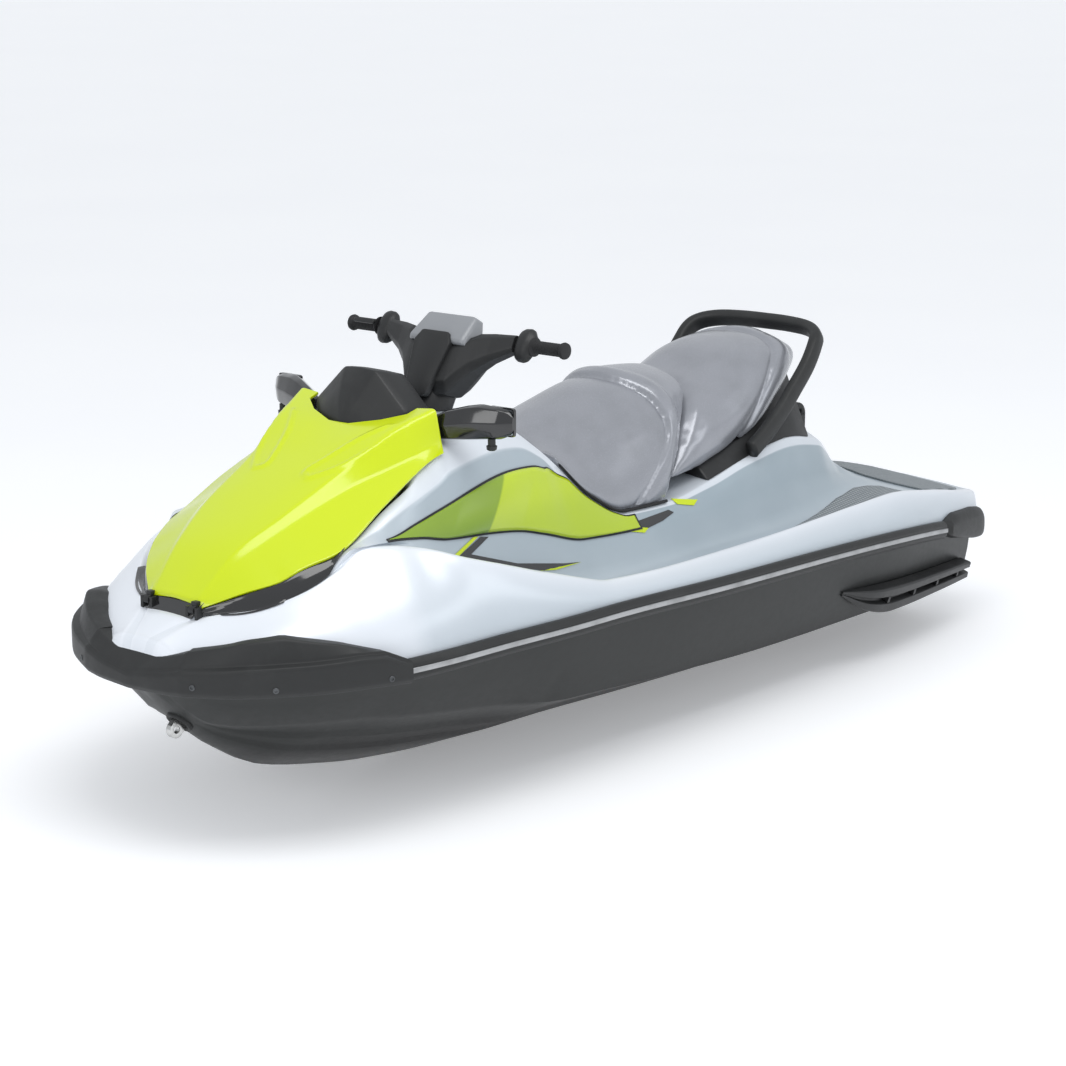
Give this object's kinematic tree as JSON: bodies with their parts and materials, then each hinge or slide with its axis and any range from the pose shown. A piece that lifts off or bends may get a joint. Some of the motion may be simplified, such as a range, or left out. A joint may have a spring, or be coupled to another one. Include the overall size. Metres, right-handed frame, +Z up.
{
  "type": "jet boat",
  "caption": "Runabout jet boat with a stepped saddle seat, hinged bow hood, steered handlebar and a jet pump with steering nozzle and reverse bucket.",
  "frame": {"origin": "amidships on the centre plane at the waterline afloat, above the keel by the draught", "axes": "+X forward to the bow, +Y to port, +Z up"},
  "size_m": [3.2357, 1.1898, 1.1654],
  "materials": {
    "hull_charcoal": "satin gel coat",
    "deck_white": "gloss gel coat",
    "engine_metal": "cast",
    "silver_trim": "satin",
    "steel": "brushed",
    "lime": "gloss",
    "display": "gloss",
    "mirror": "polished",
    "seat_vinyl": "grained vinyl",
    "mat_rubber": "ribbed",
    "alloy": "cast and machined",
    "dark_alloy": "satin paint",
    "grip_rubber": "ribbed",
    "black_plastic": "satin moulded"
  },
  "bodies": {
    "boat": {"hull_shell": "hull_charcoal", "deck": "deck_white", "deck_sides": "deck_white", "engine": "engine_metal", "rub_rails": "black_plastic", "rail_inserts": "silver_trim", "bow_bumper": "black_plastic", "stern_bumpers": "black_plastic", "bow_eye": "steel", "stern_eyes": "steel", "side_panels": "lime", "storage_liner": "black_plastic", "meter_cover": "black_plastic", "meter_display": "display", "mirror_housings": "black_plastic", "mirror_glass": "mirror", "seat_front": "seat_vinyl", "seat_rear": "seat_vinyl", "seat_base": "black_plastic", "grab_rail": "black_plastic", "tow_hook": "black_plastic", "footwell_mats": "mat_rubber", "platform_mat": "mat_rubber", "sponsons": "black_plastic", "intake_grate": "alloy", "ride_plate": "alloy", "pump_housing": "alloy", "pump_nozzle": "alloy", "steering_mount": "black_plastic", "hood_brackets": "black_plastic"},
    "hood": {"hood": "lime", "hood_knuckles": "black_plastic"},
    "handlebar": {"steering_shaft": "steel", "handlebar_cover": "black_plastic", "handlebar_shield": "silver_trim", "handlebar_arms": "black_plastic", "switch_housings": "black_plastic", "grips": "grip_rubber", "throttle_lever": "black_plastic"},
    "jet_nozzle": {"steering_nozzle": "dark_alloy"},
    "bucket": {"reverse_bucket": "dark_alloy"},
    "rotor": {"impeller": "steel"}
  },
  "joints": [
    {"name": "hood_lift", "type": "hinge", "parent": "boat", "child": "hood", "pos_m": [1.436, 0, 0.292], "axis": [0, 1, 0], "range_deg": [0, 55]},
    {"name": "steering", "type": "hinge", "parent": "boat", "child": "handlebar", "pos_m": [0.5, 0, 0.655], "axis": [-0.4848, 0, 0.8746], "range_deg": [-24, 24]},
    {"name": "jet_steer", "type": "hinge", "parent": "boat", "child": "jet_nozzle", "pos_m": [-1.4216, 0, -0.13], "axis": [0, 0, 1], "range_deg": [-19.5, 19.5]},
    {"name": "bucket_drop", "type": "hinge", "parent": "boat", "child": "bucket", "pos_m": [-1.3946, 0, -0.08], "axis": [0, -1, 0], "range_deg": [0, 33]},
    {"name": "impeller_spin", "type": "hinge", "parent": "boat", "child": "rotor", "pos_m": [-1.12, 0, -0.13], "axis": [1, 0, 0], "continuous": true}
  ],
  "couplings": [
    {"joint": "jet_steer", "follows": "steering", "ratio": -0.8}
  ]
}
